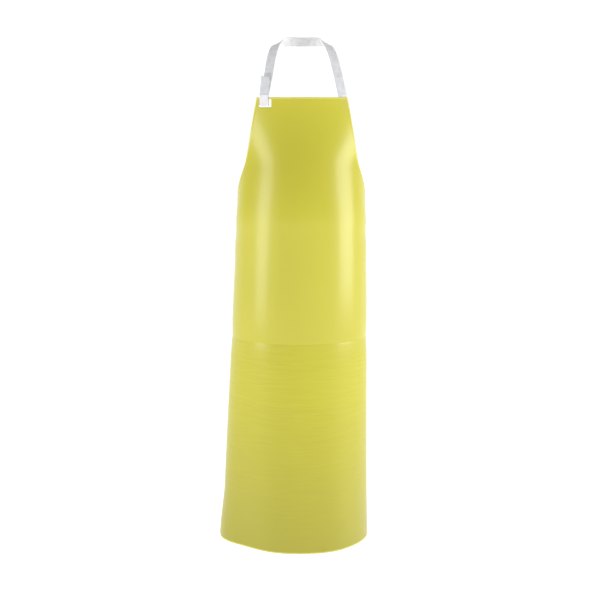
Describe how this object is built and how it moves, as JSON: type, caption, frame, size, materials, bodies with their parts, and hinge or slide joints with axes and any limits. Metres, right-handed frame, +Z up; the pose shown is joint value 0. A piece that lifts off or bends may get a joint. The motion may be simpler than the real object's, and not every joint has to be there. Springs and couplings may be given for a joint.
{
  "type": "butcher apron",
  "caption": "Long wrap-round butcher's apron in glossy coated sheet, with a webbing neck strap threaded through a slot in one bib corner and waist ties that lap at the back.",
  "frame": {"origin": "where the neck strap bears on the wearer's nape, at the middle of the strap's inner face", "axes": "+Z up, -Y towards the apron's front, +X to the right of someone facing the apron"},
  "size_m": [0.4262, 0.3298, 1.4437],
  "materials": {
    "vinyl": "glossy coated sheet",
    "patch_vinyl": "satin",
    "webbing": "plain woven webbing",
    "hook_tape": "hook and loop tape",
    "thread": "sewing thread"
  },
  "bodies": {
    "neck_loop": {"neck_strap": "webbing", "strap_loop_tape": "hook_tape"},
    "strap_tail": {"strap_tail": "webbing", "tail_hook_tape": "hook_tape"},
    "apron": {"apron_sheet": "vinyl", "slot_patch": "patch_vinyl", "corner_patch": "patch_vinyl", "neck_strap_slot_fold": "webbing", "neck_strap_sewn_end": "webbing", "neck_end_stitching": "thread", "waist_patch_left": "patch_vinyl", "waist_patch_right": "patch_vinyl", "waist_tie_end_left": "webbing", "waist_tie_end_right": "webbing", "waist_stitching_left": "thread", "waist_stitching_right": "thread"},
    "tie_left": {"waist_tie_left": "webbing", "waist_hook_tape": "hook_tape"},
    "tie_right": {"waist_tie_right": "webbing", "waist_loop_tape": "hook_tape"}
  },
  "joints": [
    {"name": "apron_swing", "type": "hinge", "parent": "neck_loop", "child": "apron", "pos_m": [0.0038, -0.1756, -0.156], "axis": [-1, 0, 0], "range_deg": [-5, 25]},
    {"name": "tail_peel", "type": "hinge", "parent": "neck_loop", "child": "strap_tail", "pos_m": [-0.10353, -0.17977, -0.15338], "axis": [0.9542, -0.295, -0.0504], "range_deg": [0, 140]},
    {"name": "tie_left_open", "type": "hinge", "parent": "apron", "child": "tie_left", "pos_m": [-0.11793, -0.02664, -0.516], "axis": [0.0881, -0.0024, 0.9961], "range_deg": [0, 100]},
    {"name": "tie_right_fold", "type": "hinge", "parent": "apron", "child": "tie_right", "pos_m": [0.11354, -0.02664, -0.516], "axis": [-0.0567, -0.0024, 0.9984], "range_deg": [0, 80]}
  ]
}
